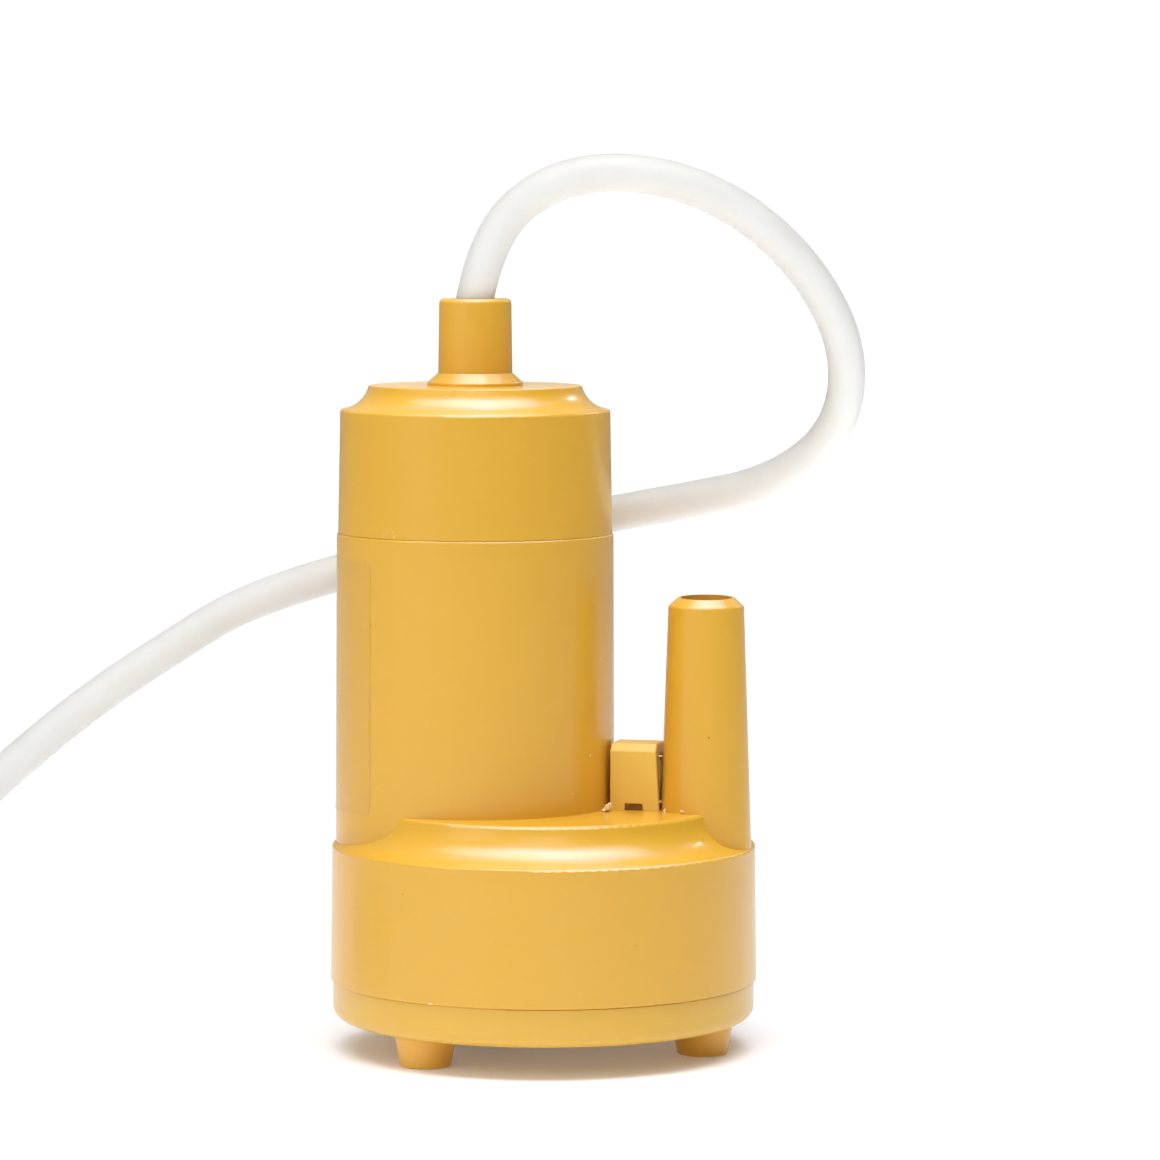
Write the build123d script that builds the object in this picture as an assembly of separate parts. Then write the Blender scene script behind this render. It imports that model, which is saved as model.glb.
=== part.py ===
from build123d import *
import os
import math

# Small 12 V submersible water pump for caravans and campers.
# Millimetres, +Z up. Origin: centre of the round base on the floor that the
# feet stand on. +X runs from the motor axis towards the upright hose tail.

os.makedirs("parts", exist_ok=True)

# ---------------------------------------------------------------- dimensions
# base
base_r_bot = 28.15          # wall radius at the seam with the bottom cover
base_r_top = 27.89          # wall radius where the cove starts
z_seam = 9.30               # seam between bottom cover and body
z_cove = 27.20              # outer edge of the concave cove
cove_in_r = 23.20           # inner edge of the cove
cove_mid = (24.75, 28.62)   # a point on the cove's arc
cove_round = 0.35           # rounded edges of the cove
seam_round = 0.16           # edge rounds at the two seams
z_top = 32.10               # flat top of the base
base_cavity_r = 25.90       # water chamber
z_ceiling = 29.70
# feet
foot_ring_r = 21.60
foot_turn = -2.6            # degrees, feet against the hose tail's direction
foot_r_bot = 3.30
foot_r_top = 3.95
foot_root = 0.55
z_foot = 4.15
cover_r = 27.80
# motor tube
mx = -9.30                  # motor axis
tube_r_low = 18.40          # at z_top
tube_r_high = 18.23         # at the cap seam
tube_round = 0.34           # outer edge of the tube at the cap seam
z_cap_seam = 68.10
tube_bore_r = 16.10
z_deck_low = 16.60
z_deck = 19.20
# cap
cap_r_low = 18.07
cap_r_high = 17.76
z_cap_cove = 84.36
cap_top_r = 14.10
cap_cove_mid = (15.08, 85.54)
z_cap_top = 87.45
neck_flare_r = 6.30
z_flare = 87.85             # where the straight cone of the flare starts
neck_r_low = 4.88
neck_r_high = 4.74
z_neck_root = 89.10
z_neck_top = 98.85
cable_d = 5.00
# hose tail
nx = 21.70
tail_r_root = 5.87          # at z_top
tail_r_tip = 4.95           # at z_tail_shoulder
z_tail_shoulder = 58.90
tail_lip_r = 3.72
z_tail_top = 60.03
tip_slant = 1.6             # degrees, the tip is cut a little lower on one side
tip_slant_dir = -78.0       # degrees about +Z, the low side
tail_bore_r = 3.35
# vent block
vent_x0, vent_x1_top, vent_x1_bot = 9.50, 15.60, 16.10
vent_half_y = 3.10
z_vent_top = 40.85
vent_ax = 12.55
ball_r = 1.30
ball_travel = 2.20
# motor (28 mm can)
can_r = 13.85
z_can = 20.60
z_can_top = 55.60
shaft_r = 1.15
bush_r = 2.60
run_gap = 0.03              # radial running clearance on the shaft
# impeller
imp_r = 13.40
z_imp_low = 7.20
z_imp_plate = 13.40
z_imp_top = 14.60
# label film
film_half_angle = 55.4
z_film_low, z_film_high = 31.8, 65.0

made = {}


def save(name, shape):
    made[name] = shape
    export_step(shape, "parts/%s.step" % name)


def rev(points, x=0.0, arc=360.0, start=0.0):
    """Solid of revolution about a vertical axis through (x, 0): points are (radius, z)."""
    face = make_face(Polyline(*[(p[0], 0, p[1]) for p in points], close=True))
    return Pos(x, 0, 0) * (Rot(0, 0, start) * revolve(face, Axis.Z, arc))


def circle3(a, b, c):
    """Centre and radius of the circle through three (r, z) points."""
    d = 2 * (a[0] * (b[1] - c[1]) + b[0] * (c[1] - a[1]) + c[0] * (a[1] - b[1]))
    sa, sb, sc = (q[0] ** 2 + q[1] ** 2 for q in (a, b, c))
    x = (sa * (b[1] - c[1]) + sb * (c[1] - a[1]) + sc * (a[1] - b[1])) / d
    z = (sa * (c[0] - b[0]) + sb * (a[0] - c[0]) + sc * (b[0] - a[0])) / d
    return x, z, math.hypot(a[0] - x, a[1] - z)


def rounded(face, corners):
    """Round named corners of a profile in the XZ plane: corners are (r, z, radius)."""
    for r, z, rad in corners:
        v = [q for q in face.vertices() if math.hypot(q.X - r, q.Z - z) < 1e-3]
        if len(v) != 1:
            raise ValueError("no corner at %s, %s" % (r, z))
        face = fillet(v, rad)
    return face


def turned(face, x=0.0):
    return Pos(x, 0, 0) * revolve(face, Axis.Z, 360)


def cyl(x, y, z0, z1, r, r_top=None):
    if r_top is None:
        return Pos(x, y, (z0 + z1) / 2) * Cylinder(r, z1 - z0)
    return Pos(x, y, (z0 + z1) / 2) * Cone(r, r_top, z1 - z0)


def ring(x, y, z0, z1, ro, ri):
    return cyl(x, y, z0, z1, ro) - cyl(x, y, z0 - 1, z1 + 1, ri)


def block(x0, x1, y0, y1, z0, z1):
    return Pos((x0 + x1) / 2, (y0 + y1) / 2, (z0 + z1) / 2) * Box(x1 - x0, y1 - y0, z1 - z0)


def tube_path(points, radii, r):
    line = FilletPolyline(*points, radius=radii)
    v = line % 0
    prof = Plane(origin=line @ 0, z_dir=v) * Circle(r)
    return sweep(prof, path=line), line.length


def bend_radii(points, share=0.45):
    out = []
    for a, b, c in zip(points, points[1:], points[2:]):
        u = Vector(*b) - Vector(*a)
        w = Vector(*c) - Vector(*b)
        turn = u.get_angle(w)
        out.append(share * min(u.length, w.length) / math.tan(math.radians(turn) / 2))
    return out


def as_solid(shape):
    """One plain solid out of a boolean result."""
    s = shape.solids()
    return s[0] if len(s) == 1 else Compound(children=list(s))


# ---------------------------------------------------------------- pump body
# outer base with its cove and flat top
cx, cz, cR = circle3((base_r_top - 0.22, z_cove), cove_mid, (cove_in_r, z_top - 0.45))
z_co = cz - math.sqrt(cR ** 2 - (base_r_top - cx) ** 2)
r_ci = cx - math.sqrt(cR ** 2 - (z_top - cz) ** 2)
prof = make_face([Line((0, 0, z_seam), (base_r_bot, 0, z_seam)), Line((base_r_bot, 0, z_seam), (base_r_top, 0, z_co)),
                  ThreePointArc((base_r_top, 0, z_co), (cove_mid[0], 0, cove_mid[1]), (r_ci, 0, z_top)),
                  Line((r_ci, 0, z_top), (0, 0, z_top)), Line((0, 0, z_top), (0, 0, z_seam))])
base_outer = turned(rounded(prof, [(base_r_bot, z_seam, seam_round), (base_r_top, z_co, cove_round),
                                   (r_ci, z_top, cove_round + 0.1)]))

prof = make_face(Polyline((0, 0, z_deck_low), (tube_r_low + 0.07, 0, z_deck_low), (tube_r_high, 0, z_cap_seam),
                          (0, 0, z_cap_seam), close=True))
motor_tube = turned(rounded(prof, [(tube_r_high, z_cap_seam, tube_round)]), mx)
seal_boss = cyl(mx, 0, 15.4, z_deck_low, 6.2)
# hose tail: straight root inside the base, long taper, chamfered tip
slope = (z_tail_top - z_tail_shoulder) / (tail_r_tip - tail_lip_r)
prof = make_face(Polyline((0, 0, 25.0), (6.1, 0, 25.0), (tail_r_root, 0, z_top), (tail_r_tip, 0, z_tail_shoulder),
                          (tail_lip_r - 0.3, 0, z_tail_top + 0.3 * slope), (0, 0, z_tail_top + 0.3 * slope), close=True))
tail = turned(rounded(prof, [(tail_r_tip, z_tail_shoulder, 0.35)]), nx)
tail -= Pos(nx, 0, z_tail_top) * (Rot(0, 0, tip_slant_dir) * (Rot(0, tip_slant, 0) * (Pos(0, 0, 3) * Box(14, 14, 6))))
tail = tail & cyl(0, 0, 20, 70, base_r_top - 0.02)

cavity = rev([(0, z_seam - 1), (base_cavity_r, z_seam - 1), (base_cavity_r, 25.4),
              (21.6, z_ceiling), (0, z_ceiling)])
cavity_keep = motor_tube + seal_boss + cyl(nx, 0, 25.0, z_top, 6.1)
body = (base_outer - (cavity - cavity_keep)) + motor_tube + tail
# motor chamber, seal pocket, shaft hole
body -= cyl(mx, 0, z_deck, z_cap_seam + 1, tube_bore_r)
body -= cyl(mx, 0, 16.4, z_deck + 0.5, 4.0)
body -= cyl(mx, 0, 15.0, 16.6, 1.7)
# waterway of the hose tail
body -= cyl(nx, 0, 24.0, z_tail_top + 1, tail_bore_r)
# vent passage with its seat pocket
body -= cyl(vent_ax, 0, 29.0, 31.2, 0.8)
body -= cyl(vent_ax, 0, 30.9, z_top + 0.5, 1.9)
body = as_solid(body)
save("pump_body", body)

# ---------------------------------------------------------------- bottom cover
prof = make_face(Polyline((0, 0, z_foot), (cover_r, 0, z_foot), (cover_r, 0, z_seam), (25.78, 0, z_seam),
                          (25.78, 0, 12.4), (23.6, 0, 12.4), (23.6, 0, 6.35), (0, 0, 6.35), close=True))
cover = turned(rounded(prof, [(cover_r, z_foot, 1.7), (cover_r, z_seam, seam_round)]))
cover -= ring(0, 0, 10.0, 11.7, 27, 24.5)
# tapered foot with a rounded sole edge and a coved root
z_rt = z_foot - foot_root
prof = make_face([Line((0, 0, 0), (foot_r_bot, 0, 0)), Line((foot_r_bot, 0, 0), (foot_r_top, 0, z_rt)),
                  ThreePointArc((foot_r_top, 0, z_rt), (foot_r_top + foot_root * 0.29, 0, z_foot - foot_root * 0.29),
                                (foot_r_top + foot_root, 0, z_foot)),
                  Line((foot_r_top + foot_root, 0, z_foot), (foot_r_top + foot_root, 0, z_foot + 0.3)),
                  Line((foot_r_top + foot_root, 0, z_foot + 0.3), (0, 0, z_foot + 0.3)),
                  Line((0, 0, z_foot + 0.3), (0, 0, 0))])
foot = turned(rounded(prof, [(foot_r_bot, 0, 0.3)]))
for k in range(3):
    a = math.radians(foot_turn + 120 * k)
    fx, fy = foot_ring_r * math.cos(a), foot_ring_r * math.sin(a)
    cover += Pos(fx, fy, 0) * foot
cover -= cyl(mx, 0, 4.0, 7.0, 6.5)
cover -= cyl(mx, 0, 5.35, 7.0, 7.5)
save("bottom_cover", as_solid(cover))

grid = ring(mx, 0, 5.38, 6.33, 7.45, 6.1) + ring(mx, 0, 5.38, 6.33, 4.2, 3.3) + cyl(mx, 0, 5.38, 6.33, 1.5)
for k in range(3):
    grid += Pos(mx, 0, 5.855) * (Rot(0, 0, 60 * k) * Box(13.4, 0.9, 0.95))
save("inlet_grid", as_solid(grid))

save("base_seal_ring", Pos(0, 0, 10.85) * Torus(25.2, 0.68))

# ---------------------------------------------------------------- cable cap
cx, cz, cR = circle3((cap_r_high - 0.2, z_cap_cove), cap_cove_mid, (cap_top_r, z_cap_top - 0.25))
z_co = cz - math.sqrt(cR ** 2 - (cap_r_high - cx) ** 2)
r_ci = cx - math.sqrt(cR ** 2 - (z_cap_top - cz) ** 2)
prof = make_face([Line((0, 0, z_cap_seam), (cap_r_low, 0, z_cap_seam)),
                  Line((cap_r_low, 0, z_cap_seam), (cap_r_high, 0, z_co)),
                  ThreePointArc((cap_r_high, 0, z_co), (cap_cove_mid[0], 0, cap_cove_mid[1]), (r_ci, 0, z_cap_top)),
                  Line((r_ci, 0, z_cap_top), (neck_flare_r, 0, z_cap_top)),
                  Line((neck_flare_r, 0, z_cap_top), (neck_flare_r, 0, z_flare)),
                  Line((neck_flare_r, 0, z_flare), (neck_r_low + 0.04, 0, z_neck_root)),
                  Line((neck_r_low + 0.04, 0, z_neck_root), (neck_r_low, 0, z_neck_root)),
                  Line((neck_r_low, 0, z_neck_root), (neck_r_high, 0, z_neck_top)),
                  Line((neck_r_high, 0, z_neck_top), (0, 0, z_neck_top)),
                  Line((0, 0, z_neck_top), (0, 0, z_cap_seam))])
cap = turned(rounded(prof, [(cap_r_low, z_cap_seam, seam_round * 0.4), (cap_r_high, z_co, 0.45), (r_ci, z_cap_top, 0.15), (neck_flare_r, z_flare, 0.3),
                            (neck_r_high, z_neck_top, 0.6)]), mx)
cap += cyl(mx, 0, 60.2, z_cap_seam, 16.0)
cap -= ring(mx, 0, 65.2, 66.8, 17.0, 14.72)
cap -= rev([(0, 60.0), (13.4, 60.0), (13.4, 68.1), (15.7, 70.0), (15.5, 82.8), (12.6, 85.25),
            (3.5, 85.25), (3.5, 97.2), (2.56, 97.2), (2.56, 99.5), (0, 99.5)], mx)
save("cable_cap", as_solid(cap))
save("cap_seal_ring", Pos(mx, 0, 66.0) * Torus(15.4, 0.68))

# ---------------------------------------------------------------- cable entry inside the cap
cr = cable_d / 2
save("neck_grommet", rev([(cr, 86.0), (3.2, 86.0), (3.48, 86.6), (3.48, 97.15), (cr, 97.15)], mx))
save("cable_inner", cyl(mx, 0, 80.5, z_neck_top, cr))
clamp = ring(mx, 0, 82.4, 85.2, 3.6, cr) + (block(mx + 2.9, mx + 6.2, -1.9, 1.9, 82.2, 85.2) - cyl(mx, 0, 80, 86, cr))
save("cable_clamp", as_solid(clamp))


# ---------------------------------------------------------------- motor
def cup():
    s = cyl(mx, 0, z_can, z_can_top, can_r)
    s -= cyl(mx, 0, z_can + 1.1, z_can_top + 1, can_r - 0.9)
    s += cyl(mx, 0, 19.5, z_can + 0.5, 3.7)
    s -= cyl(mx, 0, 19.0, 23.0, bush_r)
    return s


save("motor_can", as_solid(cup()))
save("front_bush", ring(mx, 0, 19.6, 22.6, bush_r, shaft_r + run_gap))

bell = cyl(mx, 0, z_can_top, 58.4, can_r)
bell += ring(mx, 0, 53.4, z_can_top + 0.5, can_r - 0.92, can_r - 2.4)
bell += cyl(mx, 0, 58.0, 61.2, 4.0)
bell -= cyl(mx, 0, 55.0, 60.6, bush_r)
save("motor_end_bell", as_solid(bell))
save("rear_bush", ring(mx, 0, 57.0, 60.0, bush_r, shaft_r + run_gap))

mag = ring(mx, 0, 26.0, 48.0, can_r - 0.92, 10.45)
mag = mag - block(mx - 20, mx + 20, -6.0, 6.0, 25, 49)
save("field_magnets", Compound(children=list(mag.solids())))

# front rubber seat and rear rubber collar that hold the motor in the tube
save("front_motor_ring", rev([(8.0, z_deck), (15.9, z_deck), (16.05, 19.5), (16.05, 27.0), (can_r + 0.03, 27.0),
                              (can_r + 0.03, z_can), (8.0, z_can)], mx))
save("rear_motor_ring", rev([(can_r + 0.03, 50.0), (16.05, 50.0), (16.05, 60.15), (11.4, 60.15), (11.4, 58.42),
                             (can_r + 0.03, 58.42)], mx))

# brush gear on the end bell
br, arms, tabs = [], [], []
for sgn in (1, -1):
    b = block(mx - 1.4, mx + 1.4, 0, 5.3, 50.0, 53.0) - cyl(mx, 0, 49, 54, 3.36)
    a = block(mx - 2.0, mx + 2.0, 5.3, 5.65, 49.8, z_can_top)
    t = block(mx - 1.4, mx + 1.4, 8.0, 8.5, 58.4, 64.4) - Pos(mx, 8.25, 62.9) * (Rot(90, 0, 0) * Cylinder(0.6, 2))
    if sgn < 0:
        b, a, t = [Rot(0, 0, 0) * mirror(q, Plane.XZ) for q in (b, a, t)]
    br += b.solids()
    arms += a.solids()
    tabs += t.solids()
save("brushes", Compound(children=br))
save("brush_arms", Compound(children=arms))
save("motor_tabs", Compound(children=tabs))

# ---------------------------------------------------------------- suppression parts and leads
capacitor = Pos(mx + 1.0, 0, 66.6) * (Rot(0, 90, 0) * Cylinder(3.5, 2.4))
capacitor = fillet(capacitor.edges(), 0.8)
for sgn in (1, -1):
    capacitor += Pos(mx + 1.0, sgn * 4.85, 64.0) * (Rot(90, 0, 0) * Cylinder(0.3, 6.3))
save("suppression_capacitor", as_solid(capacitor))

ch = []
for sgn in (1, -1):
    c = cyl(mx, sgn * 8.25, 65.6, 74.6, 1.9) + cyl(mx, sgn * 8.25, 64.4, 65.8, 0.4)
    c += cyl(mx, sgn * 8.25, 74.4, 75.4, 0.4)
    ch += c.solids()
save("suppression_chokes", Compound(children=ch))

lead_pts = [(mx, 8.25, 75.4), (mx, 8.25, 77.3), (mx, 1.25, 78.6), (mx, 1.25, 80.5)]
lead, ll = tube_path(lead_pts, 1.5, 0.8)
save("lead_a", as_solid(lead))
save("lead_b", as_solid(mirror(lead, Plane.XZ)))

# ---------------------------------------------------------------- rotor
save("motor_shaft", cyl(mx, 0, 8.4, 60.3, shaft_r))

core = cyl(mx, 0, 29.0, 45.0, 3.2)
shoe = ring(mx, 0, 29.0, 45.0, 10.1, 8.5)
slots = None
for k in range(5):
    core += Pos(mx, 0, 37.0) * (Rot(0, 0, 72 * k) * (Pos(4.6, 0, 0) * Box(9.2, 3.0, 16.0)))
    shoe -= Pos(mx, 0, 37.0) * (Rot(0, 0, 72 * k + 36) * (Pos(9.3, 0, 0) * Box(4.0, 1.6, 18.0)))
core = core + shoe
core -= cyl(mx, 0, 28, 46, shaft_r)
save("armature_core", as_solid(core))

wind = ring(mx, 0, 26.6, 47.4, 8.4, 3.26)
for k in range(5):
    wind -= Pos(mx, 0, 37.0) * (Rot(0, 0, 72 * k) * (Pos(5.0, 0, 0) * Box(10.0, 3.12, 16.12)))
save("armature_windings", as_solid(wind))

comm = ring(mx, 0, 48.6, 53.6, 3.3, shaft_r) + ring(mx, 0, 47.9, 48.7, 4.2, shaft_r)
for k in range(5):
    comm -= Pos(mx, 0, 51.0) * (Rot(0, 0, 72 * k + 36) * (Pos(3.6, 0, 0) * Box(1.6, 0.3, 7.0)))
save("commutator", as_solid(comm))

# impeller: closed-top disc with six swept blades
imp = cyl(mx, 0, z_imp_plate, z_imp_top, imp_r) + cyl(mx, 0, z_imp_low, z_imp_top, 3.0)
for k in range(6):
    with BuildSketch(Plane.XY.offset(z_imp_low)) as bs:
        with BuildLine():
            l1 = ThreePointArc((2.2, 0.55), (7.6, 2.9), (12.95, 0.55))
            l2 = ThreePointArc((12.95, -0.45), (7.6, 1.75), (2.2, -0.55))
            Line(l1 @ 1, l2 @ 0)
            Line(l2 @ 1, l1 @ 0)
        make_face()
    blade = extrude(bs.sketch, z_imp_plate + 0.2 - z_imp_low)
    imp += Pos(mx, 0, 0) * (Rot(0, 0, 60 * k + 8) * blade)
imp = imp & cyl(mx, 0, 7, 15, imp_r)
imp -= cyl(mx, 0, 8.4, 16, shaft_r)
save("impeller", as_solid(imp))

save("thrust_washers", Compound(children=list(ring(mx, 0, 22.9, 23.4, 2.4, shaft_r).solids())
                                + list(ring(mx, 0, 55.9, 56.5, 2.3, shaft_r).solids())))

# ---------------------------------------------------------------- shaft seal
seal = rev([(shaft_r + run_gap, 16.45), (2.1, 16.45), (2.1, 17.45), (3.3, 17.45), (3.3, 16.45),
            (3.98, 16.45), (3.98, 18.3), (shaft_r + run_gap, 18.3)], mx)
save("shaft_seal", seal)
save("seal_spring", Pos(mx, 0, 16.95) * Torus(2.45, 0.3))
save("seal_retainer", ring(mx, 0, 18.32, 19.18, 3.98, 1.6))

# ---------------------------------------------------------------- vent
prof = make_face(Polyline((vent_x0, 0, z_top + 0.02), (vent_x1_bot, 0, z_top + 0.02),
                          (vent_x1_top, 0, z_vent_top), (vent_x0, 0, z_vent_top), close=True))
vent = extrude(prof, vent_half_y, both=True)
vent = chamfer(vent.edges().filter_by(Axis.X).group_by(Axis.Z)[-1].sort_by(Axis.Y)[0], 0.95)
vent = fillet(vent.edges().filter_by(Axis.X).group_by(Axis.Z)[-1].sort_by(Axis.Y)[-1], 0.95)
vent = fillet([e for e in vent.edges().filter_by(Axis.X) if e.center().Y < -1 and e.center().Z > 39], 0.30)
vent = fillet([e for e in vent.edges() if e.center().Z > 39.2 and abs(e.tangent_at(0.5).X) < 0.5], 0.28)
# grooves down the face towards the hose tail
vent -= block(vent_x1_top - 0.95, vent_x1_bot + 1, -2.62, -1.0, z_top - 1, 39.3)
vent -= block(vent_x1_top - 0.6, vent_x1_bot + 1, 0.25, 1.35, z_top - 1, 39.3)
vent -= cyl(mx, 0, z_top - 1, z_vent_top + 1, 18.56)
vent -= cyl(nx, 0, z_top - 1, z_vent_top + 1, 6.08, 5.74)
chamber_r = ball_r + 0.35
z_ball = z_top + 0.15 + ball_r
z_chamber = z_ball + ball_travel + ball_r + 0.15
vent -= cyl(vent_ax, 0, z_top - 0.5, z_chamber, chamber_r)
vent -= cyl(vent_ax, 0, z_chamber - 0.5, 39.7, 0.7)
vent -= Pos(vent_ax + 2.5, 0, 39.0) * (Rot(0, 90, 0) * Cylinder(0.6, 5.0))
# drain notch at the foot of the front face
vent -= block(vent_ax - 1.05, vent_ax + 1.4, -vent_half_y - 1, -2.05, z_top - 0.5, z_top + 0.95)
save("vent_cover", as_solid(vent))
seat = ring(vent_ax, 0, 30.92, z_top, 1.88, 0.7)
save("vent_seat", seat)
save("vent_ball", Pos(vent_ax, 0, z_ball) * Sphere(ball_r))

# ---------------------------------------------------------------- label film
def tube_r(z):
    return tube_r_low + 0.07 + (tube_r_high - tube_r_low - 0.07) * (z - z_deck_low) / (z_cap_seam - z_deck_low)


film = rev([(tube_r(z_film_low) + 0.02, z_film_low), (tube_r(z_film_low) + 0.14, z_film_low),
            (tube_r(z_film_high) + 0.14, z_film_high), (tube_r(z_film_high) + 0.02, z_film_high)],
           mx, arc=2 * film_half_angle, start=180 - film_half_angle)
save("label_film", film)

# ---------------------------------------------------------------- supply cable
route = [(-9.30, 0.00, 98.85), (-5.60, 0.80, 109.50), (3.93, 3.18, 115.64), (18.73, 7.60, 114.16),
         (32.38, 13.45, 104.02), (38.25, 19.40, 89.15), (32.17, 23.27, 76.41), (16.11, 25.86, 70.50),
         (-2.61, 26.64, 67.53), (-19.70, 25.57, 64.39), (-34.46, 24.16, 60.59), (-46.77, 23.10, 56.39),
         (-55.48, 22.45, 51.39), (-69.16, 21.39, 42.30), (-82.84, 20.32, 30.80), (-95.73, 19.42, 18.60),
         (-107.76, 18.30, 8.40), (-119.25, 16.57, 2.55), (-129.81, 14.32, 2.55)]
radii = bend_radii(route)
print("cable bend radii:", [round(r, 1) for r in radii])
cable, cable_len = tube_path(route, radii, cr)
vol = math.pi * cr * cr * cable_len
print("cable tube length %.1f, volume %.0f against section x length %.0f" % (cable_len, cable.volume, vol))
# level start face on the neck, where the leaning tube meets the upright one
d0 = (Vector(*route[1]) - Vector(*route[0])).normalized()
start = Vector(*route[0])
cable += Plane(origin=start - d0 * 0.4, z_dir=d0) * Cylinder(cr, 1.2)
cable -= block(mx - 6, mx + 6, -6, 6, z_neck_top - 4, z_neck_top)
save("cable", as_solid(cable))

# put-away coil: outer shape of the turns
coil_x, coil_y = -123.37, -16.00
coil = rev([(18.5, 0.05), (33.5, 0.05), (33.5, 5.0), (31.2, 9.6), (21.0, 9.6), (18.5, 5.0)])
save("cable_coil", Pos(coil_x, coil_y, 0) * coil)

# stripped cores on top of the coil, bare at their tips
a0 = 212.0 + 12.0
core_r = 28.5


def on_ring(deg, r, z):
    return (coil_x + r * math.cos(math.radians(deg)), coil_y + r * math.sin(math.radians(deg)), z)


tips = []
for name, dr in (("core_a", 0.9), ("core_b", -0.9)):
    pts = [on_ring(a0, core_r + dr, 10.5), on_ring(a0 + 16, core_r + dr, 10.5), on_ring(a0 + 32, core_r + dr * 1.2, 10.5),
           on_ring(a0 + 42, core_r + dr * 2.0, 10.5)]
    s, n = tube_path(pts, bend_radii(pts), 0.85)
    save(name, as_solid(s))
    e = Vector(*pts[-1])
    d = (Vector(*pts[-1]) - Vector(*pts[-2])).normalized()
    tips += (Plane(origin=e + d * 2.5, z_dir=d) * Cylinder(0.5, 5.0)).solids()
save("core_tips", Compound(children=tips))

for name, shape in made.items():
    print("%-24s %9.1f mm3 solids %d" % (name, shape.volume, len(shape.solids())))
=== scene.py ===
import math
import random
import bpy
import bmesh
from mathutils import Matrix, Vector, noise


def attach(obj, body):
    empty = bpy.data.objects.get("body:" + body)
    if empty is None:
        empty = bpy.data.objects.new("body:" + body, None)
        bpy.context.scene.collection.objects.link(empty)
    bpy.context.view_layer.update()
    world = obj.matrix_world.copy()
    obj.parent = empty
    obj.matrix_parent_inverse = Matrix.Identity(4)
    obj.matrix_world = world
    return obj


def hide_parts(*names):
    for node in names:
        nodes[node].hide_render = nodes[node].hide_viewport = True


# Small submersible water pump on a white studio floor. Metres, the CAD frame:
# +X from the motor axis to the hose tail, +Z up, origin on the floor.

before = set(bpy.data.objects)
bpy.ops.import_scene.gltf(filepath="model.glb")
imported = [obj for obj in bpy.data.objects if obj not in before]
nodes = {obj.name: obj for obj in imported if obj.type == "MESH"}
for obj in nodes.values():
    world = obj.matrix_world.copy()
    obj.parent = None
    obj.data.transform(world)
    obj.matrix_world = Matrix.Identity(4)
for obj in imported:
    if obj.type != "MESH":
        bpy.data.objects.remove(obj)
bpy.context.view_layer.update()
scene = bpy.context.scene
link = scene.collection.objects.link
MM = 0.001
MX = -0.0093          # motor axis
NX = 0.0217           # hose tail axis
ALPHA = math.radians(12.0)

# ---------------------------------------------------------------- camera
right_h = Vector((math.cos(ALPHA), math.sin(ALPHA), 0))
away_h = Vector((-math.sin(ALPHA), math.cos(ALPHA), 0))
pitch, roll = math.radians(4.45), math.radians(0.107)
forward = away_h * math.cos(pitch) - Vector((0, 0, 1)) * math.sin(pitch)
up0 = away_h * math.sin(pitch) + Vector((0, 0, 1)) * math.cos(pitch)
right = right_h * math.cos(roll) + up0 * math.sin(roll)
up = up0 * math.cos(roll) - right_h * math.sin(roll)
cam_data = bpy.data.cameras.new("studio_camera")
cam_data.sensor_width = 36.0
cam_data.lens = 164.495
cam_data.clip_start, cam_data.clip_end = 0.01, 100.0
cam = bpy.data.objects.new("studio_camera", cam_data)
cam.matrix_world = Matrix(((right.x, up.x, -forward.x, 0.14915),
                           (right.y, up.y, -forward.y, -0.67899),
                           (right.z, up.z, -forward.z, 0.11603),
                           (0, 0, 0, 1)))
link(cam)
scene.camera = cam


def shot(x, y, z):
    """A place given in the camera's own level axes: x right, y away, z up."""
    return right_h * x + away_h * y + Vector((0, 0, z))


# ---------------------------------------------------------------- supply cable
CABLE_D = 0.005
cable_points = [
    (-0.00945, -0.00003, 0.09824), (-0.00790, 0.00036, 0.10700), (-0.00020, 0.00215, 0.11440),
    (0.01087, 0.00507, 0.11592), (0.02256, 0.00903, 0.11225), (0.03238, 0.01348, 0.10355),
    (0.03775, 0.01827, 0.09196), (0.03573, 0.02185, 0.08072), (0.02607, 0.02448, 0.07350),
    (0.01225, 0.02623, 0.07066), (-0.00194, 0.02656, 0.06796), (-0.01520, 0.02585, 0.06526),
    (-0.02744, 0.02473, 0.06239), (-0.03876, 0.02376, 0.05918), (-0.04851, 0.02298, 0.05555),
    (-0.05544, 0.02246, 0.05132), (-0.06916, 0.02139, 0.04230), (-0.08284, 0.02032, 0.03080),
    (-0.09573, 0.01942, 0.01860), (-0.10776, 0.01830, 0.00840), (-0.11925, 0.01657, 0.00255),
    (-0.12998, 0.01511, 0.00255),
]
COIL = Vector((-0.12337, -0.01600, 0))


def on_coil(angle, radius, z):
    a = math.radians(angle)
    return COIL + Vector((radius * math.cos(a), radius * math.sin(a), z)) * MM


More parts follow.
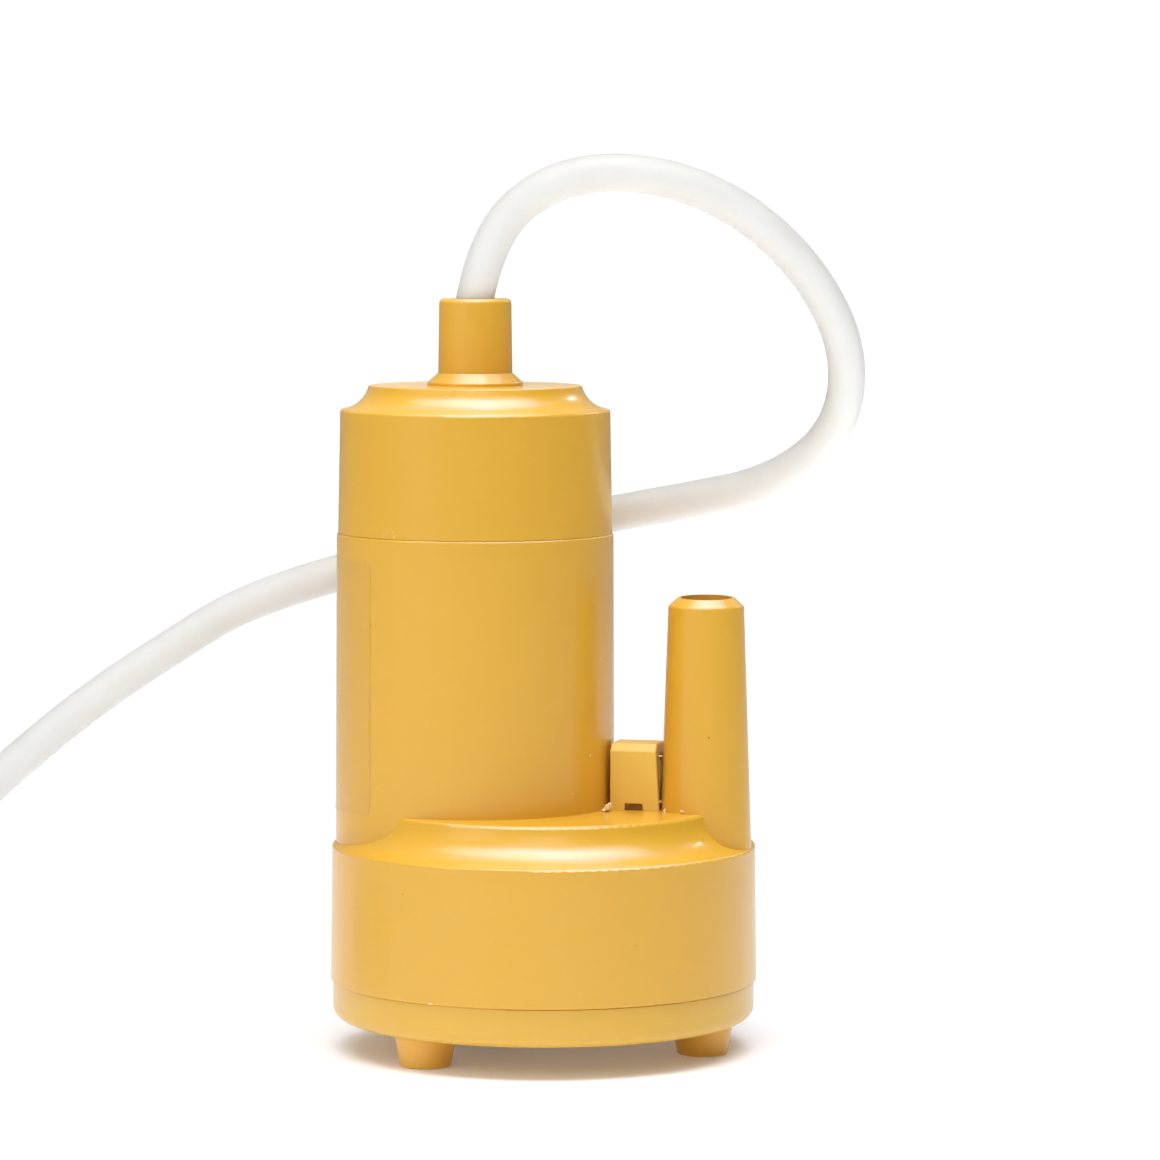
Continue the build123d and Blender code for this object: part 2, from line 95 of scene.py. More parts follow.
# turns of the coil: angle reached, radius, height in mm; between two entries the
# turn goes on evenly
coil_legs = [(392, 31.6, 2.55), (452, 26.5, 2.55), (752, 26.5, 2.55), (812, 21.4, 2.55), (1040, 21.4, 2.55),
             (1060, 21.4, 3.0), (1082, 21.5, 5.2), (1106, 22.9, 7.1), (1130, 23.95, 7.75), (1154, 23.95, 7.75),
             (1178, 23.95, 6.95), (1396, 23.95, 6.95), (1420, 25.4, 7.75), (1444, 27.6, 7.75), (1468, 29.05, 7.2),
             (1490, 29.05, 7.75), (1514, 29.05, 7.75), (1538, 29.05, 6.95), (1662, 29.05, 6.95)]
turn_points = []
at = (102, 32.2, 2.55)
for leg in coil_legs:
    n = max(1, round((leg[0] - at[0]) / 24))
    for k in range(1, n + 1):
        u = k / n
        turn_points.append(on_coil(*(p + (q - p) * u for p, q in zip(at, leg))))
    at = leg

curve = bpy.data.curves.new("supply_cable", "CURVE")
curve.dimensions = "3D"
spline = curve.splines.new("NURBS")
line = [Vector(p) for p in cable_points] + turn_points
spline.points.add(len(line) - 1)
rng = random.Random(7)
for i, (pt, p) in enumerate(zip(spline.points, line)):
    pt.co = (*p, 1.0)
    pt.radius = CABLE_D / 2 * (1.0 + rng.uniform(-0.022, 0.022))
spline.order_u = 3
spline.use_endpoint_u = True
spline.resolution_u = 16
curve.bevel_depth = 1.0  # the points' own radii are in metres
curve.bevel_resolution = 10
curve.use_fill_caps = True
cable = bpy.data.objects.new("supply_cable", curve)
link(cable)


def tube_piece(name, points, radius, order=3):
    c = bpy.data.curves.new(name, "CURVE")
    c.dimensions = "3D"
    for one in points:
        s = c.splines.new("NURBS")
        s.points.add(len(one) - 1)
        for pt, p in zip(s.points, one):
            pt.co = (*p, 1.0)
            pt.radius = radius
        s.order_u = order
        s.use_endpoint_u = True
        s.resolution_u = 10
    c.bevel_depth = 1.0
    c.bevel_resolution = 5
    c.use_fill_caps = True
    o = bpy.data.objects.new(name, c)
    link(o)
    return o


# the two stripped cores lie down from the jacket's end into the groove of the turns below
core_objs, strand_lines = [], []
for name, side in (("core_brown_wire", 1), ("core_blue_wire", -1)):
    run = [on_coil(221.0, 29.05 + 0.88 * side, 6.95), on_coil(225, 29.05 + 0.9 * side, 6.95),
           on_coil(229, 28.9 + 0.9 * side, 6.7), on_coil(234, 28.7 + 0.9 * side, 5.9),
           on_coil(239, 28.55 + 0.92 * side, 5.62), on_coil(247, 28.5 + 1.0 * side, 5.62),
           on_coil(255, 28.5 + 1.1 * side, 5.62), on_coil(263, 28.5 + 1.5 * side, 5.62)]
    core_objs.append(tube_piece(name, [run], 0.00085))
    e = run[-1]
    d = (run[-1] - run[-2]).normalized()
    s = d.cross(Vector((0, 0, 1))).normalized()
    t = s.cross(d)
    for k in range(7):
        a = k * math.tau / 6
        r = 0.0 if k == 6 else 0.00036
        pts = []
        for j in range(6):
            w = a + 0.75 * j
            flare = r * (1 + 0.10 * max(0, j - 3) * (1 + (k % 3)))
            pts.append(e + d * (-0.0008 + j * 0.0011 + 0.0002 * (k % 2)) + (s * math.cos(w) + t * math.sin(w)) * flare)
        strand_lines.append(pts)
strands = tube_piece("bare_strands", strand_lines, 0.00017)

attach(cable, "pump")
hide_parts("cable", "cable_coil")
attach(core_objs[0], "pump")
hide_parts("core_a")
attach(core_objs[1], "pump")
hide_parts("core_b")
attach(strands, "pump")
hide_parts("core_tips")


# ---------------------------------------------------------------- materials
class Mat:
    """A node-based material around one Principled shader, with object coordinates in metres."""

    def __init__(self, name, color, rough, metallic=0.0, ior=1.5, coat=0.0, coat_rough=0.1):
        self.m = bpy.data.materials.new(name)
        self.m.use_nodes = True
        self.t = self.m.node_tree
        self.p = self.t.nodes["Principled BSDF"]
        self.p.inputs["Base Color"].default_value = (*color, 1)
        self.p.inputs["Roughness"].default_value = rough
        self.p.inputs["Metallic"].default_value = metallic
        self.p.inputs["IOR"].default_value = ior
        self.p.inputs["Coat Weight"].default_value = coat
        self.p.inputs["Coat Roughness"].default_value = coat_rough
        self.tc = self.t.nodes.new("ShaderNodeTexCoord")
        self.color, self.rough = color, rough
        self.height = None

    def n(self, kind, **values):
        node = self.t.nodes.new(kind)
        for k, v in values.items():
            setattr(node, k, v)
        return node

    def link(self, a, b):
        self.t.links.new(a, b)

    def mapped(self, scale=(1, 1, 1), rot=(0, 0, 0), loc=(0, 0, 0)):
        m = self.n("ShaderNodeMapping")
        m.inputs["Scale"].default_value = scale
        m.inputs["Rotation"].default_value = rot
        m.inputs["Location"].default_value = loc
        self.link(self.tc.outputs["Object"], m.inputs["Vector"])
        return m.outputs["Vector"]

    def noise(self, scale, detail=3.0, rough=0.5, vec=None, distortion=0.0):
        t = self.n("ShaderNodeTexNoise")
        t.inputs["Scale"].default_value = scale
        t.inputs["Detail"].default_value = detail
        t.inputs["Roughness"].default_value = rough
        t.inputs["Distortion"].default_value = distortion
        self.link(vec if vec is not None else self.tc.outputs["Object"], t.inputs["Vector"])
        return t.outputs["Fac"]

    def voronoi(self, scale, feature="F1", vec=None, random_=1.0):
        t = self.n("ShaderNodeTexVoronoi", feature=feature)
        t.inputs["Scale"].default_value = scale
        t.inputs["Randomness"].default_value = random_
        self.link(vec if vec is not None else self.tc.outputs["Object"], t.inputs["Vector"])
        return t

    def span(self, fac, a, b, c, d, smooth=False):
        m = self.n("ShaderNodeMapRange")
        if smooth:
            m.interpolation_type = "SMOOTHSTEP"
        for i, v in zip(("From Min", "From Max", "To Min", "To Max"), (a, b, c, d)):
            m.inputs[i].default_value = v
        self.link(fac, m.inputs["Value"])
        return m.outputs["Result"]

    def math(self, op, a, b=None, c=None):
        m = self.n("ShaderNodeMath", operation=op)
        for i, v in enumerate((a, b, c)):
            if v is None:
                continue
            if isinstance(v, (int, float)):
                m.inputs[i].default_value = v
            else:
                self.link(v, m.inputs[i])
        return m.outputs[0]

    def mix(self, fac, a, b, mode="MIX"):
        m = self.n("ShaderNodeMix", data_type="RGBA", blend_type=mode)
        for s, v in ((0, fac), (6, a), (7, b)):
            if isinstance(v, (int, float)):
                m.inputs[s].default_value = v
            elif isinstance(v, tuple):
                m.inputs[s].default_value = (*v, 1)
            else:
                self.link(v, m.inputs[s])
        return m.outputs[2]

    def shade(self, fac, low, high):
        """Two tones of the base colour, multiplied by low and high, blended by fac."""
        lo = tuple(min(1, c * k) for c, k in zip(self.color, low))
        hi = tuple(min(1, c * k) for c, k in zip(self.color, high))
        return self.mix(fac, lo, hi)

    def base(self, out):
        self.link(out, self.p.inputs["Base Color"])

    def roughness(self, out):
        self.link(out, self.p.inputs["Roughness"])

    def bump(self, height, distance, strength=1.0):
        b = self.n("ShaderNodeBump")
        b.inputs["Strength"].default_value = strength
        b.inputs["Distance"].default_value = distance
        self.link(height, b.inputs["Height"])
        if self.height is not None:
            self.link(self.height, b.inputs["Normal"])
        self.height = b.outputs["Normal"]
        self.link(self.height, self.p.inputs["Normal"])


def near(mat, points, soft=0.25):
    """1 at the given (point, radius) places in mm, 0 elsewhere."""
    total = None
    for (x, y, z), r in points:
        v = mat.n("ShaderNodeVectorMath", operation="DISTANCE")
        mat.link(mat.tc.outputs["Object"], v.inputs[0])
        v.inputs[1].default_value = (x * MM, y * MM, z * MM)
        f = mat.span(v.outputs["Value"], r * MM * (1 - soft), r * MM * (1 + soft), 1, 0, True)
        total = f if total is None else mat.math("MAXIMUM", total, f)
    return total


YELLOW = (0.7060, 0.3890, 0.0335)


def moulded(name, color=YELLOW, rough=0.24, specks=(), seed=0.0, smear=None, bore=None, shade=None, feet_painted_light_top=None, coat=0.22, spec=0.5):
    """Injection-moulded ochre plastic: faint flow tones, pigment grains, a few dark specks, a fine polished skin."""
    m = Mat(name, color, rough)
    m.p.inputs["Specular IOR Level"].default_value = spec
    m.p.inputs["Coat Weight"].default_value = coat
    m.p.inputs["Coat Roughness"].default_value = 0.09
    broad = m.noise(34, 2, 0.5, m.mapped(loc=(seed, 0, 0)))
    flow = m.noise(150, 2, 0.5, m.mapped(scale=(1, 1, 0.25), loc=(0, seed, 0)), 0.3)
    tone = m.math("ADD", m.math("MULTIPLY", broad, 0.6), m.math("MULTIPLY", flow, 0.4))
    col = m.shade(m.span(tone, 0.25, 0.75, 0, 1), (0.988, 0.982, 0.955), (1.012, 1.016, 1.04))
    # fine upright lines, as the polished steel mould leaves them
    lines = m.noise(1300, 2, 0.55, m.mapped(scale=(1, 1, 0.012), loc=(seed, 3, 0)))
    col = m.mix(m.span(lines, 0.35, 0.75, 0, 0.05), col, tuple(c * 0.86 for c in color))
    # pigment grains
    cell = m.voronoi(2100)
    grain = m.span(cell.outputs["Distance"], 0.0, 0.45, 1, 0)
    col = m.mix(m.math("MULTIPLY", grain, 0.022), col, (0.42, 0.2, 0.03))
    # scattered dark specks, as burnt grains leave them
    dots = m.voronoi(150, vec=m.mapped(loc=(seed, seed, 0)))
    pick = m.span(m.noise(75, 0, 0.5, m.mapped(loc=(0, 0, seed + 3))), 0.66, 0.70, 0, 1)
    small = m.math("MULTIPLY", m.span(dots.outputs["Distance"], 0.008, 0.018, 1, 0, True), pick)
    if specks:
        small = m.math("MAXIMUM", small, near(m, specks))
    col = m.mix(m.math("MULTIPLY", small, 0.62), col, (0.20, 0.085, 0.02))
    if smear:
        # a thin ring of flash that was smeared flat
        ring = m.math("SUBTRACT", near(m, [(smear, 1.12)], 0.25), near(m, [(smear, 0.72)], 0.4))
        ring = m.math("MULTIPLY", ring, m.span(m.noise(1500, 2), 0.35, 0.65, 0.0, 0.34))
        col = m.mix(ring, col, (0.90, 0.66, 0.26))
    if feet_painted_light_top:
        # painted light: the feet, below the given height, are painted lighter and pinker, standing in for light that
        # the table throws up on them
        height = m.n("ShaderNodeSeparateXYZ")
        m.link(m.tc.outputs["Object"], height.inputs[0])
        low = m.span(height.outputs["Z"], (feet_painted_light_top - 0.8) * MM, feet_painted_light_top * MM, 1, 0, True)
        col = m.mix(low, col, tuple(c * k for c, k in zip(color, (1.12, 1.01, 1.16))))
    m.base(col)
    # skin: very fine texture and very shallow waviness
    m.bump(m.noise(5200, 2, 0.6), 0.0000012, 0.5)
    m.bump(m.noise(95, 2, 0.5, m.mapped(scale=(1, 1, 0.35), loc=(seed, 1, 0))), 0.000010, 0.2)
    m.bump(lines, 0.0000015, 0.4)
    patch = m.noise(120, 2, 0.5, m.mapped(loc=(4, 0, seed)))
    skin = m.span(patch, 0.25, 0.75, rough - 0.015, rough + 0.02)
    if bore:
        # inside of the water passage: an unpolished, rougher skin, and painted shade, the colour darker and more
        # orange as light bouncing in the bore makes it
        side = m.n("ShaderNodeVectorMath", operation="MULTIPLY")
        m.link(m.tc.outputs["Object"], side.inputs[0])
        side.inputs[1].default_value = (1, 1, 0)
        away_from = m.n("ShaderNodeVectorMath", operation="DISTANCE")
        m.link(side.outputs["Vector"], away_from.inputs[0])
        away_from.inputs[1].default_value = (bore[0] * MM, bore[1] * MM, 0)
        bore_skin_and_shade = m.span(away_from.outputs["Value"], bore[2] * MM, (bore[2] + 0.12) * MM, 1, 0, True)
        skin = m.math("ADD", skin, m.math("MULTIPLY", bore_skin_and_shade, 0.36))
        m.base(m.mix(m.math("MULTIPLY", bore_skin_and_shade, 0.60), col, tuple(c * k for c, k in zip(color, (0.98, 0.80, 0.25)))))
    if shade:
        # painted shade in a recess: the colour is darkened where shade falls in it, and the skin is rougher
        notch_painted_shade = near(m, shade, 0.2)
        m.base(m.mix(m.math("MULTIPLY", notch_painted_shade, 0.75), col, tuple(c * k for c, k in zip(color, (0.40, 0.27, 0.55)))))
        skin = m.math("ADD", skin, m.math("MULTIPLY", notch_painted_shade, 0.2))
    m.roughness(skin)
    return m.m


def rubber(name, color, rough=0.62):
    m = Mat(name, color, rough)
    a = m.noise(900, 4, 0.6)
    m.base(m.shade(m.span(a, 0.3, 0.7, 0, 1), (0.85, 0.85, 0.85), (1.2, 1.2, 1.2)))
    m.roughness(m.span(m.noise(300, 2), 0.3, 0.7, rough - 0.08, rough + 0.1))
    m.bump(m.noise(3500, 3, 0.6), 0.00001, 0.6)
    return m.m


def metal(name, color, rough, brushed=(1, 1, 1), mottled=0.08, lines=2200):
    m = Mat(name, color, rough, metallic=1.0)
    a = m.noise(420, 4, 0.6, m.mapped(scale=brushed))
    m.base(m.shade(m.span(a, 0.3, 0.7, 0, 1), (1 - mottled,) * 3, (1 + mottled,) * 3))
    grit = m.noise(lines, 3, 0.6, m.mapped(scale=brushed))
    m.roughness(m.span(grit, 0.25, 0.75, max(0.03, rough - 0.08), rough + 0.12))
    m.bump(grit, 0.000006, 0.5)
    return m.m


def stacked(name):
    """Laminated steel: thin sheets one on another."""
    m = Mat(name, (0.32, 0.33, 0.35), 0.4, metallic=1.0)
    w = m.n("ShaderNodeTexWave", wave_type="BANDS", bands_direction="Z")
    w.inputs["Scale"].default_value = 620
    w.inputs["Distortion"].default_value = 0.3
    m.link(m.tc.outputs["Object"], w.inputs["Vector"])
    m.base(m.mix(w.outputs["Fac"], (0.16, 0.16, 0.17), (0.46, 0.47, 0.49)))
    m.roughness(m.span(m.noise(700, 3), 0.3, 0.7, 0.34, 0.5))
    m.bump(w.outputs["Fac"], 0.00005, 0.5)
    return m.m


def wound(name):
    """Enamelled copper wire in bundles."""
    m = Mat(name, (0.72, 0.30, 0.12), 0.24, metallic=0.9, coat=0.6)
    w = m.n("ShaderNodeTexWave", wave_type="BANDS", bands_direction="DIAGONAL")
    w.inputs["Scale"].default_value = 900
    w.inputs["Distortion"].default_value = 1.4
    w.inputs["Detail"].default_value = 1
    m.link(m.tc.outputs["Object"], w.inputs["Vector"])
    m.base(m.mix(w.outputs["Fac"], (0.30, 0.09, 0.03), (0.80, 0.36, 0.15)))
    m.roughness(m.span(m.noise(800, 2), 0.3, 0.7, 0.2, 0.34))
    m.bump(w.outputs["Fac"], 0.00012, 0.7)
    return m.m


def pressed(name, color, rough, scale=1400):
    """Sintered or fired stuff: ferrite, carbon, ceramic."""
    m = Mat(name, color, rough)
    v = m.voronoi(scale)
    m.base(m.shade(m.span(v.outputs["Distance"], 0, 0.7, 0, 1), (0.75,) * 3, (1.25,) * 3))
    m.roughness(m.span(m.noise(500, 3), 0.3, 0.7, rough - 0.07, rough + 0.1))
    m.bump(v.outputs["Distance"], 0.00002, 0.5)
    return m.m


def jacket(name):
    """Off-white soft cable jacket: matte, slightly lumpy over its cores, with faint handling marks."""
    m = Mat(name, (0.652, 0.656, 0.646), 0.46)
    m.p.inputs["Subsurface Weight"].default_value = 0.85
    m.p.inputs["Subsurface Scale"].default_value = 1.0
    m.p.inputs["Subsurface Radius"].default_value = (0.0040, 0.0038, 0.0036)
    m.p.inputs["Sheen Weight"].default_value = 0.10
    m.p.inputs["Sheen Roughness"].default_value = 0.5
    a = m.noise(55, 4, 0.6)
    b = m.noise(420, 3, 0.6, None, 0.6)
    tone = m.math("ADD", m.math("MULTIPLY", a, 0.55), m.math("MULTIPLY", b, 0.45))
    col = m.shade(m.span(tone, 0.32, 0.68, 0, 1), (0.97, 0.96, 0.94), (1.02, 1.02, 1.025))
    rub = m.span(m.noise(210, 5, 0.7), 0.60, 0.76, 0, 0.10)
    m.base(m.mix(rub, col, (0.64, 0.62, 0.58)))
    m.roughness(m.span(b, 0.25, 0.75, 0.38, 0.58))
    m.bump(m.noise(150, 3, 0.55), 0.00042, 0.5)
    m.bump(m.noise(900, 3, 0.6), 0.00004, 0.5)
    # the crease that the tight bend above the neck leaves
    crease = near(m, [((-6.6, 0.5, 103.4), 0.42)], 0.9)
    m.bump(crease, -0.00035, 1.0)
    return m.m


def insulation(name, color):
    m = Mat(name, color, 0.36)
    a = m.noise(500, 3, 0.6)
    m.base(m.shade(m.span(a, 0.3, 0.7, 0, 1), (0.9,) * 3, (1.12,) * 3))
    m.roughness(m.span(m.noise(900, 2), 0.3, 0.7, 0.3, 0.45))
    m.bump(m.noise(1300, 3, 0.6), 0.00002, 0.5)
    return m.m


def nylon_stuff(name, color, rough=0.42):
    m = Mat(name, color, rough)
    m.p.inputs["Subsurface Weight"].default_value = 0.15
    m.p.inputs["Subsurface Radius"].default_value = (0.001, 0.0009, 0.0008)
    m.base(m.shade(m.span(m.noise(260, 4, 0.6), 0.3, 0.7, 0, 1), (0.95,) * 3, (1.04,) * 3))
    m.roughness(m.span(m.noise(800, 3), 0.3, 0.7, rough - 0.06, rough + 0.08))
    m.bump(m.noise(2600, 3, 0.6), 0.000012, 0.5)
    return m.m


body_specks = [((23.14, -5.34, 42.15), 0.15), ((-13.13, -24.79, 23.23), 0.16), ((16.98, -22.44, 17.15), 0.14)]
looks = {
    "yellow_body": moulded("ochre_body", rough=0.30, specks=body_specks, seed=0.0, bore=(21.7, 0.0, 3.45)),
    # the cover's colour is painted lighter and whiter than the body's: painted light, standing in for the light that
    # the table throws up on it
    "yellow_cover": moulded("ochre_cover", tuple(c * k for c, k in zip(YELLOW, (1.01, 1.06, 1.20))), 0.31, seed=1.7, feet_painted_light_top=4.3),
    "yellow_cap": moulded("ochre_cap", rough=0.30, seed=3.1, smear=(-17.02, -16.49, 68.35)),
    # the vent's colour is painted paler and pinker than the body's: painted light and a painted reflection of the hose
    # tail on its side face; the notch in it gets painted shade
    "yellow_vent": moulded("ochre_vent", tuple(c * k for c, k in zip(YELLOW, (1.18, 1.38, 2.75))), 0.46, seed=4.9, coat=0.0, spec=0.32,
                            shade=[((12.72, -2.0, 32.4), 0.95)]),
    "yellow_inner": moulded("ochre_inner", rough=0.36, seed=6.2),
    "impeller_plastic": nylon_stuff("impeller_white", (0.72, 0.72, 0.69)),
    "seal_rubber": rubber("black_rubber", (0.022, 0.022, 0.023)),
    "nylon": nylon_stuff("natural_nylon", (0.74, 0.72, 0.66)),
    "steel": metal("plated_steel", (0.60, 0.61, 0.62), 0.28, (1, 1, 0.2)),
    "ground_steel": metal("ground_steel", (0.66, 0.67, 0.68), 0.16, (1, 1, 8)),
    "laminated_steel": stacked("laminated_steel_look"),
    "bronze": metal("spring_bronze", (0.72, 0.47, 0.20), 0.25),
    "copper": metal("bare_copper", (0.80, 0.40, 0.24), 0.22),
    "enamelled_copper": wound("enamelled_copper_look"),
    "ferrite": pressed("ferrite_look", (0.075, 0.075, 0.08), 0.5),
    "carbon": pressed("carbon_look", (0.035, 0.034, 0.033), 0.55),
    "ceramic_disc": pressed("ceramic_look", (0.55, 0.24, 0.08), 0.4),
    "lead_red": insulation("red_lead", (0.50, 0.02, 0.02)),
    "lead_black": insulation("black_lead", (0.02, 0.02, 0.022)),
    "core_brown": insulation("brown_core", (0.16, 0.06, 0.03)),
    "core_blue": insulation("blue_core", (0.03, 0.10, 0.42)),
    "cable_jacket": jacket("white_jacket"),
}
slot_of = {}
for slot_name in looks:
    slot_of[slot_name] = looks[slot_name]
for name, o in nodes.items():
    for s in o.material_slots:
        key = s.material.name.split(".")[0] if s.material else ""
        if key in looks:
            s.material = looks[key]
cable.data.materials.append(looks["cable_jacket"])
core_objs[0].data.materials.append(looks["core_brown"])
core_objs[1].data.materials.append(looks["core_blue"])
strands.data.materials.append(looks["copper"])


# ---------------------------------------------------------------- clear label film
def film_material():
    m = Mat("clear_film_look", (0.78, 0.54, 0.22), 0.16)
    m.p.inputs["Alpha"].default_value = 0.05
    a = m.noise(320, 4, 0.6)
    m.base(m.shade(m.span(a, 0.3, 0.7, 0, 1), (0.96,) * 3, (1.05,) * 3))
    m.roughness(m.span(m.noise(600, 3), 0.3, 0.7, 0.16, 0.28))
    m.bump(m.noise(210, 3, 0.5), 0.00012, 0.35)
    return m.m


def film_rim_material():
    m = Mat("film_cut_edge", (0.60, 0.36, 0.10), 0.35)
    m.p.inputs["Alpha"].default_value = 0.42
    a = m.noise(700, 3, 0.6)
    m.base(m.shade(m.span(a, 0.3, 0.7, 0, 1), (0.85,) * 3, (1.15,) * 3))
    m.roughness(m.span(a, 0.3, 0.7, 0.3, 0.45))
    m.bump(a, 0.00003, 0.5)
    return m.m


def tube_radius(z):
    return 0.01847 + (0.01823 - 0.01847) * (z - 0.0166) / (0.0681 - 0.0166)


bm = bmesh.new()
Z0, Z1, HALF = 0.0318, 0.0650, math.radians(55.4)
cols, rows = 96, 60
grid = []
corner = 0.0013
for i in range(cols + 1):
    col = []
    for j in range(rows + 1):
        u, v = i / cols * 2 - 1, j / rows * 2 - 1
        a = u * HALF
        z = (Z0 + Z1) / 2 + v * (Z1 - Z0) / 2
        # rounded corners: pull the corner in along both directions
        w = (HALF - abs(a)) * 0.0184
        h = (Z1 - Z0) / 2 * (1 - abs(v))
        if w < corner and h < corner:
            dx, dz = corner - w, corner - h
            d = math.hypot(dx, dz)
            if d > corner:
                k = corner / d
                w2, h2 = corner - dx * k, corner - dz * k
                a = math.copysign(HALF - w2 / 0.0184, a)
                z = (Z0 + Z1) / 2 + math.copysign((Z1 - Z0) / 2 - h2, v)
        edge = min(w, h)
        lift = 0.00003 + 0.00005 * max(0.0, noise.noise(Vector((a * 9, z * 260, 3.0))))
        lift += 0.00006 * math.exp(-edge / 0.0006) * (0.5 + noise.noise(Vector((a * 14, z * 400, 9.0))))
        r = tube_radius(z) + max(0.00002, lift)
        col.append(bm.verts.new((MX + r * math.cos(math.pi + a), r * math.sin(math.pi + a), z)))
    grid.append(col)
for i in range(cols):
    for j in range(rows):
        bm.faces.new((grid[i][j], grid[i + 1][j], grid[i + 1][j + 1], grid[i][j + 1]))
me = bpy.data.meshes.new("label_sheet")
bm.to_mesh(me)
bm.free()
for p in me.polygons:
    p.use_smooth = True
label = bpy.data.objects.new("label_sheet", me)
link(label)
me.materials.append(film_material())
me.materials.append(film_rim_material())
so = label.modifiers.new("thickness", "SOLIDIFY")
so.thickness = 0.00008
so.offset = 1.0
so.material_offset_rim = 1
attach(label, "pump")
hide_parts("label_film")


# ---------------------------------------------------------------- moulding flash and small chips
def torn():
    """Torn, stress-paled plastic of the flash crumbs."""
    m = Mat("ochre_torn", (0.93, 0.74, 0.40), 0.42)
    a = m.noise(2600, 3, 0.6)
    m.base(m.shade(m.span(a, 0.3, 0.7, 0, 1), (0.86, 0.82, 0.7), (1.05, 1.08, 1.2)))
    m.roughness(m.span(a, 0.3, 0.7, 0.36, 0.5))
    m.bump(a, 0.00002, 0.5)
    return m.m


def crumb_piece(name, crumbs):
    """Small angular shards of torn flash. Each one: (place in mm, half sizes in mm across the face it sits on,
    along it and out of it, direction out of that face, seed)."""
    b = bmesh.new()
    for place, size, out, seed in crumbs:
        r = random.Random(seed)
        n = Vector(out).normalized()
        t = n.cross(Vector((0, 0, 1)) if abs(n.z) < 0.9 else right_h).normalized()
        u = t.cross(n)
        new = []
        for k in range(9):
            v = Vector((r.gauss(0, 1), r.gauss(0, 1), r.gauss(0, 1))).normalized() * r.uniform(0.85, 1.2)
            p = Vector(place) + t * v.x * size[0] + u * v.y * size[1] + n * v.z * size[2]
            new.append(b.verts.new(p * MM))
        hull = bmesh.ops.convex_hull(b, input=new)
        loose = [e for e in hull["geom_interior"] + hull["geom_unused"] if isinstance(e, bmesh.types.BMVert)]
        bmesh.ops.delete(b, geom=list(set(loose)), context="VERTS")
    bmesh.ops.recalc_face_normals(b, faces=b.faces)
    mesh = bpy.data.meshes.new(name)
    b.to_mesh(mesh)
    b.free()
    o = bpy.data.objects.new(name, mesh)
    link(o)
    mesh.materials.append(torn_look)
    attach(o, "pump")
    return o


torn_look = torn()
up_dir = (0, 0, 1)


def out_of_tube(x, y):
    return (x - MX / MM, y, 0)


crumb_piece("flash_chip", [((9.66, -4.95, 32.84), (0.60, 0.74, 0.68), (0.1, -0.2, 1), 11),
                           ((9.22, -5.10, 32.30), (0.44, 0.54, 0.28), up_dir, 5)])
crumb_piece("top_crumbs", [((17.10, -4.55, 32.35), (0.15, 0.16, 0.42), up_dir, 3),
                           ((19.80, -5.65, 32.48), (0.36, 0.22, 0.20), (-0.3, -0.9, 0.3), 8),
                           ((21.51, -7.00, 32.12), (0.28, 0.16, 0.11), up_dir, 6)])
crumb_piece("vent_crumbs", [((16.18, -2.62, 33.30), (0.20, 0.20, 0.22), (1, -0.2, 0), 9),
                            ((16.25, -2.55, 39.26), (0.20, 0.24, 0.56), (1, -0.1, 0), 10)])
crumb_piece("wall_nicks", [((8.57, -4.31, 52.06), (0.13, 0.20, 0.05), out_of_tube(8.57, -4.31), 12),
                           ((7.75, -6.98, 39.66), (0.10, 0.22, 0.05), out_of_tube(7.75, -6.98), 13),
                           ((6.11, -10.15, 34.93), (0.12, 0.16, 0.05), out_of_tube(6.11, -10.15), 14)])
crumb_piece("seam_crumbs", [((-13.85, -24.62, 9.62), (0.16, 0.07, 0.07), (-13.85, -24.62, 0), 21),
                            ((-12.50, -25.35, 9.58), (0.30, 0.09, 0.08), (-12.50, -25.35, 0), 22),
                            ((-8.85, -26.86, 9.53), (0.38, 0.14, 0.09), (-8.85, -26.86, 0), 23)])


# ---------------------------------------------------------------- studio
def plane(name, size, z=0.0):
    b = bmesh.new()
    bmesh.ops.create_grid(b, x_segments=24, y_segments=24, size=size)
    mesh = bpy.data.meshes.new(name)
    b.to_mesh(mesh)
    b.free()
    o = bpy.data.objects.new(name, mesh)
    o.location.z = z
    link(o)
    return o


floor = plane("studio_floor", 6.0, -0.00002)
fm = Mat("white_table", (0.90, 0.90, 0.895), 0.55)
fm.base(fm.shade(fm.noise(9, 3), (0.985,) * 3, (1.01,) * 3))
fm.roughness(fm.span(fm.noise(400, 3), 0.3, 0.7, 0.5, 0.62))
fm.bump(fm.noise(1800, 2), 0.00001, 0.3)
# a little light comes through the table near the object
away = fm.n("ShaderNodeVectorMath", operation="LENGTH")
fm.link(fm.tc.outputs["Object"], away.inputs[0])
glow = fm.span(away.outputs["Value"], 0.0, 0.26, 0.11, 0.0, True)
fm.p.inputs["Emission Color"].default_value = (1, 1, 1, 1)
fm.link(glow, fm.p.inputs["Emission Strength"])
floor.data.materials.append(fm.m)

# white sweep: fades in over the table towards its far parts, seen by the camera only
sweep = plane("studio_sweep", 6.0, 0.0)
sm = Mat("white_sweep", (0.0, 0.0, 0.0), 1.0)
far = sm.n("ShaderNodeVectorMath", operation="LENGTH")
sm.link(sm.tc.outputs["Object"], far.inputs[0])
sm.link(sm.span(far.outputs["Value"], 0.035, 0.42, 0.0, 1.0, True), sm.p.inputs["Alpha"])
sm.p.inputs["Specular IOR Level"].default_value = 0.0
sm.p.inputs["Emission Color"].default_value = (1, 1, 1, 1)
sm.link(sm.span(sm.noise(5, 2), 0.0, 1.0, 1.04, 1.06), sm.p.inputs["Emission Strength"])
sweep.data.materials.append(sm.m)
for seen_by in ("visible_diffuse", "visible_glossy", "visible_transmission", "visible_volume_scatter", "visible_shadow"):
    setattr(sweep, seen_by, False)

world = bpy.data.worlds.new("studio_world")
scene.world = world
world.use_nodes = True
wt = world.node_tree
bg = wt.nodes["Background"]
tc = wt.nodes.new("ShaderNodeTexCoord")


